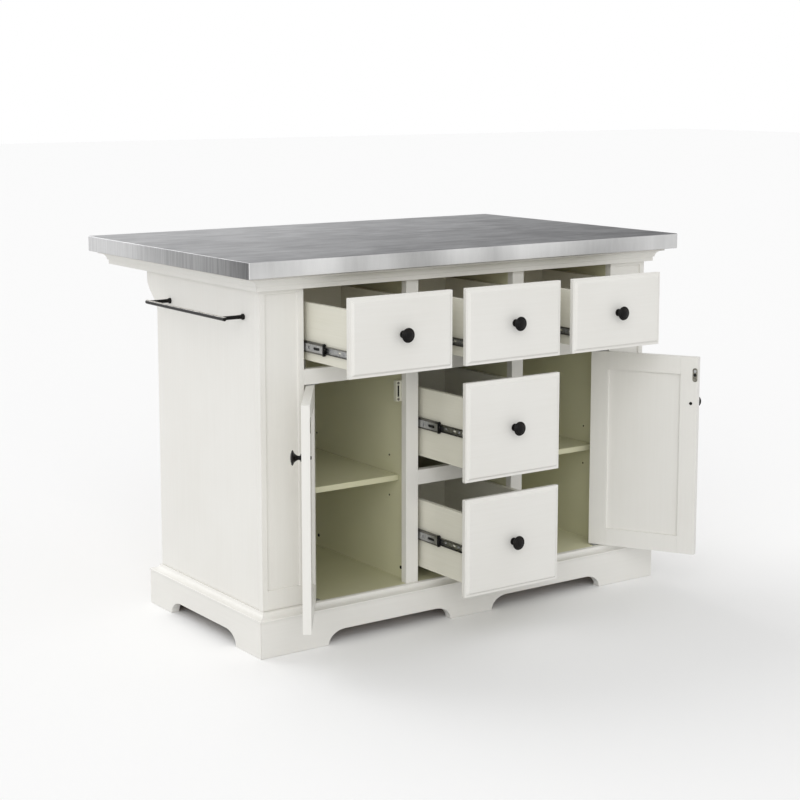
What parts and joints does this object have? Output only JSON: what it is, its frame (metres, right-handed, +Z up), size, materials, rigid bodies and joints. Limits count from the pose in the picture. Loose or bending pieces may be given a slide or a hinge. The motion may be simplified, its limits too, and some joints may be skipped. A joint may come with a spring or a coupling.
{
  "type": "kitchen island unit",
  "caption": "Kitchen island cabinet on an arched plinth: drawers on ball slides, framed doors, a towel bar and a sheet-steel worktop that overhangs at the back.",
  "frame": {"origin": "on the floor, under the middle of the unit as stored, with drawers and doors open", "axes": "+X along the front from left to right, +Y from front to back, +Z up"},
  "size_m": [1.282, 0.9712, 0.914],
  "materials": {
    "painted_wood": "satin off-white paint",
    "inside_board": "cream melamine",
    "drawer_board": "cream lacquer",
    "raw_board": "bare plywood",
    "worktop_steel": "brushed along the length",
    "zinc_steel": "bright zinc plate",
    "dark_metal": "dark bronze, nearly black",
    "catch_plastic": "white plastic with a black magnet"
  },
  "bodies": {
    "cabinet": {"steel_top": "worktop_steel", "top_core": "raw_board", "sub_top": "raw_board", "crown_moulding": "painted_wood", "end_panel_left": "painted_wood", "end_panel_right": "painted_wood", "post_left": "painted_wood", "post_right": "painted_wood", "mullions": "painted_wood", "face_rails": "painted_wood", "back_panel": "painted_wood", "back_battens": "painted_wood", "inner_sides": "inside_board", "dividers": "inside_board", "slide_packers": "inside_board", "deck": "inside_board", "base_cap": "painted_wood", "plinth_front": "painted_wood", "plinth_back": "painted_wood", "plinth_left": "painted_wood", "plinth_right": "painted_wood", "corner_blocks": "raw_board", "shelves": "inside_board", "shelf_pins": "zinc_steel", "towel_bar": "dark_metal", "slide_cabinet_members": "zinc_steel", "catches_and_pivots": "catch_plastic"},
    "drawer_1": {"drawer_1_front": "painted_wood", "drawer_1_box": "drawer_board", "drawer_1_knob": "dark_metal", "drawer_1_runners": "zinc_steel"},
    "slides_1": {"slides_1": "zinc_steel"},
    "drawer_2": {"drawer_2_front": "painted_wood", "drawer_2_box": "drawer_board", "drawer_2_knob": "dark_metal", "drawer_2_runners": "zinc_steel"},
    "slides_2": {"slides_2": "zinc_steel"},
    "drawer_3": {"drawer_3_front": "painted_wood", "drawer_3_box": "drawer_board", "drawer_3_knob": "dark_metal", "drawer_3_runners": "zinc_steel"},
    "slides_3": {"slides_3": "zinc_steel"},
    "drawer_4": {"drawer_4_front": "painted_wood", "drawer_4_box": "drawer_board", "drawer_4_knob": "dark_metal", "drawer_4_runners": "zinc_steel"},
    "slides_4": {"slides_4": "zinc_steel"},
    "drawer_5": {"drawer_5_front": "painted_wood", "drawer_5_box": "drawer_board", "drawer_5_knob": "dark_metal", "drawer_5_runners": "zinc_steel"},
    "slides_5": {"slides_5": "zinc_steel"},
    "door_left": {"door_left_frame": "painted_wood", "door_left_panel": "painted_wood", "door_left_knob": "dark_metal", "door_left_fittings": "zinc_steel"},
    "door_right": {"door_right_frame": "painted_wood", "door_right_panel": "painted_wood", "door_right_knob": "dark_metal", "door_right_fittings": "zinc_steel"}
  },
  "joints": [
    {"name": "drawer_1_slide", "type": "slide", "parent": "cabinet", "child": "drawer_1", "axis": [0, -1, 0], "range_m": [-0.19, 0.21]},
    {"name": "slides_1_travel", "type": "slide", "parent": "cabinet", "child": "slides_1", "axis": [0, -1, 0], "range_m": [-0.095, 0.105]},
    {"name": "drawer_2_slide", "type": "slide", "parent": "cabinet", "child": "drawer_2", "axis": [0, -1, 0], "range_m": [-0.19, 0.21]},
    {"name": "slides_2_travel", "type": "slide", "parent": "cabinet", "child": "slides_2", "axis": [0, -1, 0], "range_m": [-0.095, 0.105]},
    {"name": "drawer_3_slide", "type": "slide", "parent": "cabinet", "child": "drawer_3", "axis": [0, -1, 0], "range_m": [-0.19, 0.21]},
    {"name": "slides_3_travel", "type": "slide", "parent": "cabinet", "child": "slides_3", "axis": [0, -1, 0], "range_m": [-0.095, 0.105]},
    {"name": "drawer_4_slide", "type": "slide", "parent": "cabinet", "child": "drawer_4", "axis": [0, -1, 0], "range_m": [-0.19, 0.21]},
    {"name": "slides_4_travel", "type": "slide", "parent": "cabinet", "child": "slides_4", "axis": [0, -1, 0], "range_m": [-0.095, 0.105]},
    {"name": "drawer_5_slide", "type": "slide", "parent": "cabinet", "child": "drawer_5", "axis": [0, -1, 0], "range_m": [-0.19, 0.21]},
    {"name": "slides_5_travel", "type": "slide", "parent": "cabinet", "child": "slides_5", "axis": [0, -1, 0], "range_m": [-0.095, 0.105]},
    {"name": "door_left_hinge", "type": "hinge", "parent": "cabinet", "child": "door_left", "pos_m": [-0.4415, -0.25694, 0.36], "axis": [0, 0, -1], "range_deg": [-124.5, 3.5]},
    {"name": "door_right_hinge", "type": "hinge", "parent": "cabinet", "child": "door_right", "pos_m": [0.4415, -0.25694, 0.36], "axis": [0, 0, 1], "range_deg": [-121, 7]}
  ],
  "couplings": [
    {"joint": "slides_1_travel", "follows": "drawer_1_slide", "ratio": 0.5},
    {"joint": "slides_2_travel", "follows": "drawer_2_slide", "ratio": 0.5},
    {"joint": "slides_3_travel", "follows": "drawer_3_slide", "ratio": 0.5},
    {"joint": "slides_4_travel", "follows": "drawer_4_slide", "ratio": 0.5},
    {"joint": "slides_5_travel", "follows": "drawer_5_slide", "ratio": 0.5}
  ]
}
